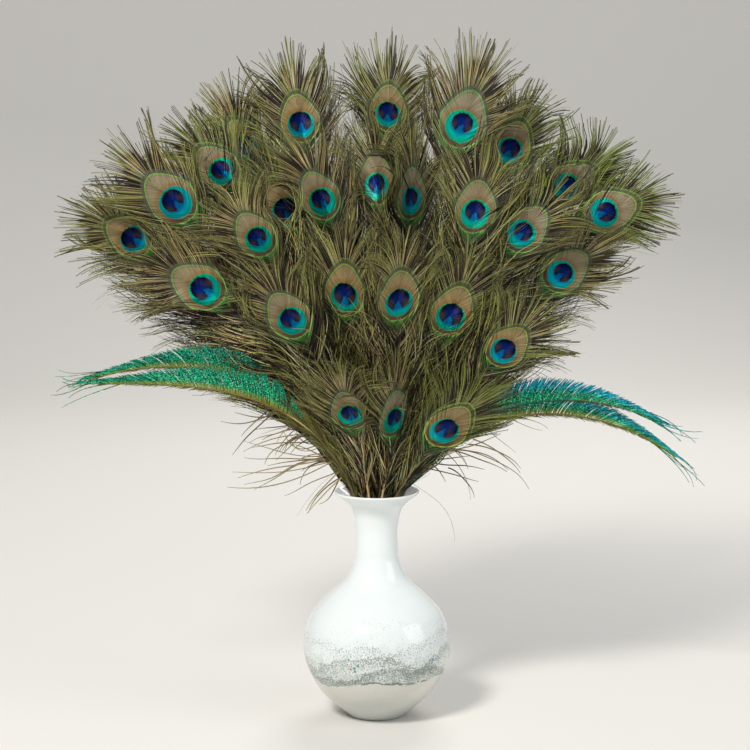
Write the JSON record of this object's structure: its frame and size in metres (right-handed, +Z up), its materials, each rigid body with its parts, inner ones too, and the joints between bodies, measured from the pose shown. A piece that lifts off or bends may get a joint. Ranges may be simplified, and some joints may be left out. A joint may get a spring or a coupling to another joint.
{
  "type": "bunch of peacock feathers in a vase",
  "caption": "Fan of eyed peacock tail feathers with green sword feathers at the sides, standing in a round-bellied white porcelain vase with a slim neck.",
  "frame": {"origin": "middle of the vase's foot, on the surface that it stands on", "axes": "+Z up the vase's axis; +X to the right and +Y away from the viewer when the fan is seen from the front"},
  "size_m": [0.6861, 0.2827, 0.7249],
  "materials": {
    "porcelain": "white glazed porcelain with a pale grey-green printed band round the belly",
    "eye_feather": "olive-bronze barbs, iridescent eye of blue, turquoise and bronze",
    "sword_feather": "iridescent blue-green barbs on a brown rachis"
  },
  "bodies": {
    "root": {"vase": "porcelain", "eye_feather_front_1": "eye_feather", "eye_feather_front_2": "eye_feather", "eye_feather_front_3": "eye_feather", "eye_feather_second_1": "eye_feather", "eye_feather_second_2": "eye_feather", "eye_feather_second_3": "eye_feather", "eye_feather_second_4": "eye_feather", "eye_feather_second_5": "eye_feather", "eye_feather_third_1": "eye_feather", "eye_feather_third_2": "eye_feather", "eye_feather_third_3": "eye_feather", "eye_feather_third_4": "eye_feather", "eye_feather_third_5": "eye_feather", "eye_feather_third_6": "eye_feather", "eye_feather_fourth_1": "eye_feather", "eye_feather_fourth_2": "eye_feather", "eye_feather_fourth_3": "eye_feather", "eye_feather_fourth_4": "eye_feather", "eye_feather_fourth_5": "eye_feather", "eye_feather_fourth_6": "eye_feather", "eye_feather_fourth_7": "eye_feather", "eye_feather_back_1": "eye_feather", "eye_feather_back_2": "eye_feather", "eye_feather_back_3": "eye_feather", "eye_feather_back_4": "eye_feather", "eye_feather_back_5": "eye_feather", "eye_feather_back_6": "eye_feather", "sword_feather_left_low": "sword_feather", "sword_feather_left_high": "sword_feather", "sword_feather_right_high": "sword_feather", "sword_feather_right_low": "sword_feather"}
  },
  "joints": []
}
